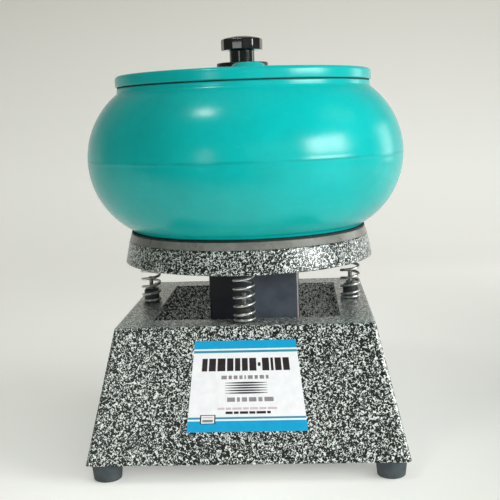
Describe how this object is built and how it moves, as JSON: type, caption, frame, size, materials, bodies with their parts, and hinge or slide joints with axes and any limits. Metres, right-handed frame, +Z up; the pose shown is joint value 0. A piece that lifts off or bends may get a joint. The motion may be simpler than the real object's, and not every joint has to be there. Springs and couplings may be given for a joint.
{
  "type": "vibratory rock tumbler",
  "caption": "Vibratory tumbler: a lidded ring-shaped polishing bowl and its eccentric-weight motor hang on coil springs over a tapered sheet-metal base.",
  "frame": {"origin": "on the floor under the middle of the machine", "axes": "+Z up, -Y the label side (front), +X to the right seen from the front"},
  "size_m": [0.306, 0.306, 0.3927],
  "materials": {
    "hammertone_paint": "hammertone gloss",
    "label": "satin film",
    "foot_rubber": "matte",
    "mat_rubber": "matte",
    "zinc_steel": "zinc plated",
    "spring_steel": "bright zinc plated",
    "seat_plastic": "matte",
    "bowl_plastic": "satin",
    "lid_plastic": "satin",
    "knob_plastic": "gloss",
    "brass": "machined",
    "shroud_paint": "satin",
    "cast_aluminium": "cast",
    "laminated_steel": "laminated",
    "winding_enamel": "varnished copper",
    "bright_steel": "ground",
    "black_plastic": "satin",
    "weight_iron": "machined",
    "capacitor_can": "drawn",
    "block_plastic": "matte"
  },
  "bodies": {
    "base": {"base_housing": "hammertone_paint", "type_label": "label", "foot_front_left": "foot_rubber", "foot_front_right": "foot_rubber", "foot_back_left": "foot_rubber", "foot_back_right": "foot_rubber", "foot_screws": "zinc_steel", "foot_washers": "zinc_steel", "foot_nuts": "zinc_steel", "spring_seats_lower": "seat_plastic", "seat_screws_lower": "zinc_steel", "seat_washers_lower": "zinc_steel", "seat_nuts_lower": "zinc_steel", "switch_housing": "black_plastic", "gland_body": "black_plastic", "gland_locknut": "black_plastic", "gland_seal": "mat_rubber", "gland_cap": "black_plastic", "run_capacitor": "capacitor_can", "capacitor_clip": "black_plastic", "terminal_block": "block_plastic", "bracket_screws": "zinc_steel"},
    "side_springs": {"spring_left": "spring_steel", "spring_right": "spring_steel"},
    "end_springs": {"spring_front": "spring_steel", "spring_back": "spring_steel"},
    "deck": {"pan": "hammertone_paint", "pan_mat": "mat_rubber", "bowl": "bowl_plastic", "centre_rod": "zinc_steel", "rod_nuts": "zinc_steel", "rod_washer": "zinc_steel", "bowl_washer": "zinc_steel", "spring_seats_upper": "seat_plastic", "seat_screws_upper": "zinc_steel", "seat_washers_upper": "zinc_steel", "seat_nuts_upper": "zinc_steel", "motor_shroud": "shroud_paint", "motor_bell_upper": "cast_aluminium", "motor_bell_lower": "cast_aluminium", "stator_core": "laminated_steel", "stator_windings": "winding_enamel", "bearing_outer_rings": "bright_steel", "motor_tie_bolts": "zinc_steel", "motor_spacers": "bright_steel", "tie_bolt_nuts": "zinc_steel"},
    "rotor": {"rotor_core": "laminated_steel", "motor_shaft": "bright_steel", "bearing_inner_rings": "bright_steel", "cooling_fan": "black_plastic", "eccentric_weight": "weight_iron", "weight_screw": "zinc_steel"},
    "lid": {"lid": "lid_plastic", "lid_seal": "mat_rubber", "clamp_washer": "knob_plastic"},
    "knob_thread": {"knob_insert": "brass"},
    "knob": {"knob": "knob_plastic"},
    "switch_rocker": {"switch_rocker": "black_plastic"}
  },
  "joints": [
    {"name": "deck_bounce", "type": "slide", "parent": "base", "child": "side_springs", "axis": [0, 0, 1], "range_m": [-0.006, 0.004], "stiffness_N_per_m": 30000, "springref_m": 0.00191, "deforming": ["spring_front", "spring_back", "spring_left", "spring_right"]},
    {"name": "deck_rock_x", "type": "hinge", "parent": "side_springs", "child": "end_springs", "pos_m": [0, 0, 0.1704], "axis": [1, 0, 0], "range_deg": [-1.5, 1.5], "stiffness_Nm_per_rad": 150, "deforming": ["spring_front", "spring_back"]},
    {"name": "deck_rock_y", "type": "hinge", "parent": "end_springs", "child": "deck", "pos_m": [0, 0, 0.1704], "axis": [0, 1, 0], "range_deg": [-1.5, 1.5], "stiffness_Nm_per_rad": 150, "deforming": ["spring_left", "spring_right"]},
    {"name": "motor_spin", "type": "hinge", "parent": "deck", "child": "rotor", "pos_m": [0, 0, 0.1], "axis": [0, 0, 1], "continuous": true},
    {"name": "lid_lift", "type": "slide", "parent": "deck", "child": "lid", "axis": [0, 0, 1], "range_m": [0, 0.06]},
    {"name": "knob_raise", "type": "slide", "parent": "lid", "child": "knob_thread", "axis": [0, 0, 1], "range_m": [0, 0.015]},
    {"name": "knob_turn", "type": "hinge", "parent": "knob_thread", "child": "knob", "pos_m": [0, 0, 0.37], "axis": [0, 0, 1], "range_deg": [0, 3600]},
    {"name": "rocker_tip", "type": "hinge", "parent": "base", "child": "switch_rocker", "pos_m": [-0.055, 0.12688, 0.07132], "axis": [0, 0.2249, -0.9744], "range_deg": [0, 20]}
  ],
  "couplings": [
    {"joint": "knob_raise", "follows": "knob_turn", "m_per_rad": 0.00023873}
  ]
}
